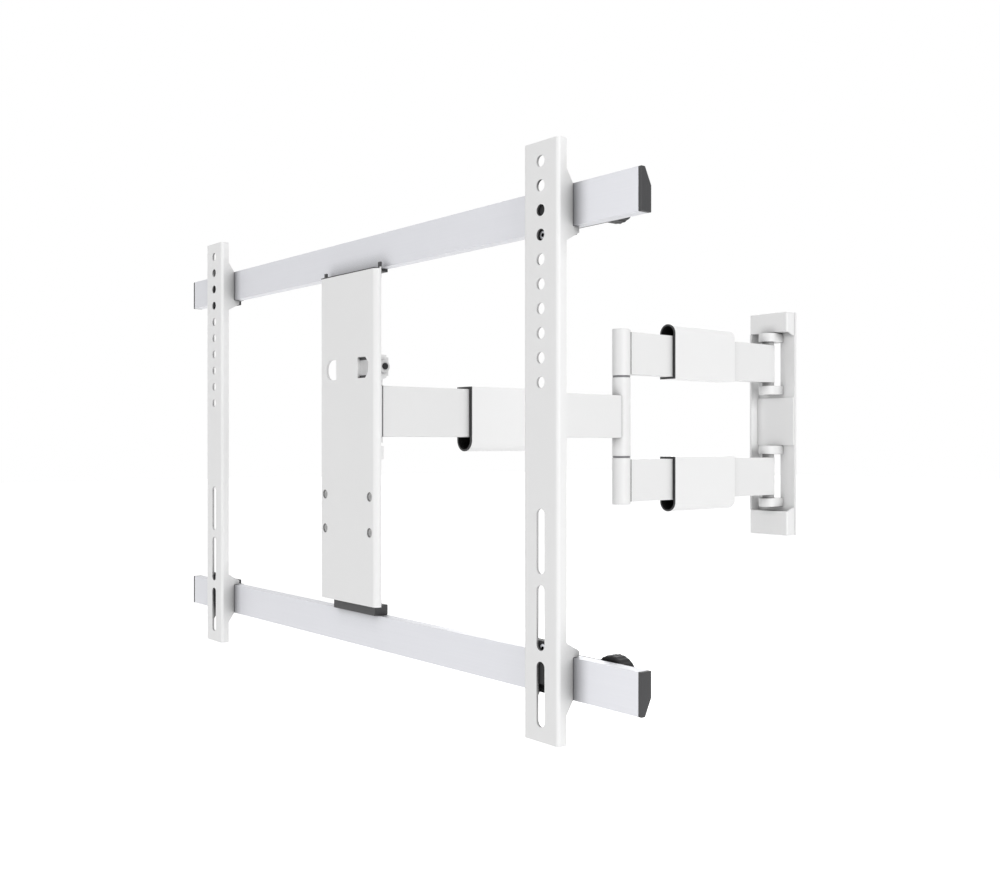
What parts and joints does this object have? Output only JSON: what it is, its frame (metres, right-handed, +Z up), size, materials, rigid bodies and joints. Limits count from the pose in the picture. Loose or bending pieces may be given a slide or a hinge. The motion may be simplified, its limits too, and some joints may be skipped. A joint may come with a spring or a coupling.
{
  "type": "full motion tv wall mount",
  "caption": "Wall plate with two rear arms, one front arm, swivel and tilt head, crossbars and sliding rails for a TV.",
  "frame": {"origin": "middle of the wall plate's back face, on the wall", "axes": "+X right seen from the room, +Y into the wall, +Z up"},
  "size_m": [0.712, 0.66, 0.44],
  "materials": {
    "white_steel": "satin powder coat",
    "white_plastic": "satin moulded",
    "anodised_bar": "pale satin anodised",
    "zinc_steel": "bright zinc plate",
    "grey_plastic": "natural bearing plastic",
    "black_plastic": "fine textured"
  },
  "bodies": {
    "wall": {"wall_plate": "white_steel", "top_end_cap": "white_plastic", "bottom_end_cap": "white_plastic", "middle_cover": "white_plastic", "upper_hinge_lugs": "white_steel", "lower_hinge_lugs": "white_steel", "upper_wall_pin": "zinc_steel", "lower_wall_pin": "zinc_steel"},
    "rear_arms": {"upper_rear_arm": "white_steel", "lower_rear_arm": "white_steel", "upper_wall_bushes": "grey_plastic", "lower_wall_bushes": "grey_plastic", "upper_elbow_barrel": "white_steel", "lower_elbow_barrel": "white_steel", "elbow_pin": "zinc_steel", "elbow_plugs": "black_plastic", "upper_cable_cover": "white_plastic", "upper_cover_bezel": "black_plastic", "lower_cable_cover": "white_plastic", "lower_cover_bezel": "black_plastic"},
    "front_arm": {"front_elbow_barrel": "white_steel", "elbow_bushes": "grey_plastic", "front_arm": "white_steel", "head_barrel": "white_steel", "swivel_bushes": "grey_plastic", "front_cable_cover": "white_plastic", "front_cover_bezel": "black_plastic"},
    "yoke": {"swivel_yoke": "white_steel", "swivel_pin": "zinc_steel", "tilt_pivots": "zinc_steel"},
    "tv_frame": {"tilt_channel": "white_steel", "tilt_lock_bolt": "zinc_steel", "tilt_lock_nuts": "zinc_steel", "head_plate": "white_steel", "head_screws": "zinc_steel", "window_trim": "black_plastic", "upper_crossbar": "anodised_bar", "lower_crossbar": "anodised_bar", "upper_right_bar_cap": "black_plastic", "upper_left_bar_cap": "black_plastic", "lower_right_bar_cap": "black_plastic", "lower_left_bar_cap": "black_plastic", "upper_bar_bracket": "zinc_steel", "lower_bar_bracket": "zinc_steel", "upper_bar_saddle": "black_plastic", "lower_bar_saddle": "black_plastic", "upper_bracket_screws": "zinc_steel", "lower_bracket_screws": "zinc_steel"},
    "right_rail": {"right_rail": "white_steel", "right_rail_screws": "zinc_steel", "upper_right_rail_clamp": "black_plastic", "lower_right_rail_clamp": "black_plastic"},
    "upper_right_knob": {"upper_right_lock_knob": "black_plastic"},
    "lower_right_knob": {"lower_right_lock_knob": "black_plastic"},
    "left_rail": {"left_rail": "white_steel", "left_rail_screws": "zinc_steel", "upper_left_rail_clamp": "black_plastic", "lower_left_rail_clamp": "black_plastic"},
    "upper_left_knob": {"upper_left_lock_knob": "black_plastic"},
    "lower_left_knob": {"lower_left_lock_knob": "black_plastic"}
  },
  "joints": [
    {"name": "wall_swing", "type": "hinge", "parent": "wall", "child": "rear_arms", "pos_m": [0, -0.02, 0.005], "axis": [0, 0, 1], "range_deg": [-70, 90]},
    {"name": "elbow", "type": "hinge", "parent": "rear_arms", "child": "front_arm", "pos_m": [0, -0.293, 0.005], "axis": [0, 0, -1], "range_deg": [-165, 165]},
    {"name": "swivel", "type": "hinge", "parent": "front_arm", "child": "yoke", "pos_m": [0, -0.63, 0.005], "axis": [0, 0, 1], "range_deg": [-75, 75]},
    {"name": "tilt", "type": "hinge", "parent": "yoke", "child": "tv_frame", "pos_m": [0, -0.641, 0.005], "axis": [1, 0, 0], "range_deg": [-5, 15]},
    {"name": "right_rail_slide", "type": "slide", "parent": "tv_frame", "child": "right_rail", "axis": [1, 0, 0], "range_m": [-0.17, 0.03]},
    {"name": "left_rail_slide", "type": "slide", "parent": "tv_frame", "child": "left_rail", "axis": [-1, 0, 0], "range_m": [-0.17, 0.03]},
    {"name": "upper_right_knob_turn", "type": "hinge", "parent": "right_rail", "child": "upper_right_knob", "pos_m": [0.313, -0.6255, 0.1507], "axis": [0, 1, 0], "continuous": true},
    {"name": "lower_right_knob_turn", "type": "hinge", "parent": "right_rail", "child": "lower_right_knob", "pos_m": [0.313, -0.6255, -0.1947], "axis": [0, 1, 0], "continuous": true},
    {"name": "upper_left_knob_turn", "type": "hinge", "parent": "left_rail", "child": "upper_left_knob", "pos_m": [-0.313, -0.6255, 0.1507], "axis": [0, 1, 0], "continuous": true},
    {"name": "lower_left_knob_turn", "type": "hinge", "parent": "left_rail", "child": "lower_left_knob", "pos_m": [-0.313, -0.6255, -0.1947], "axis": [0, 1, 0], "continuous": true}
  ]
}
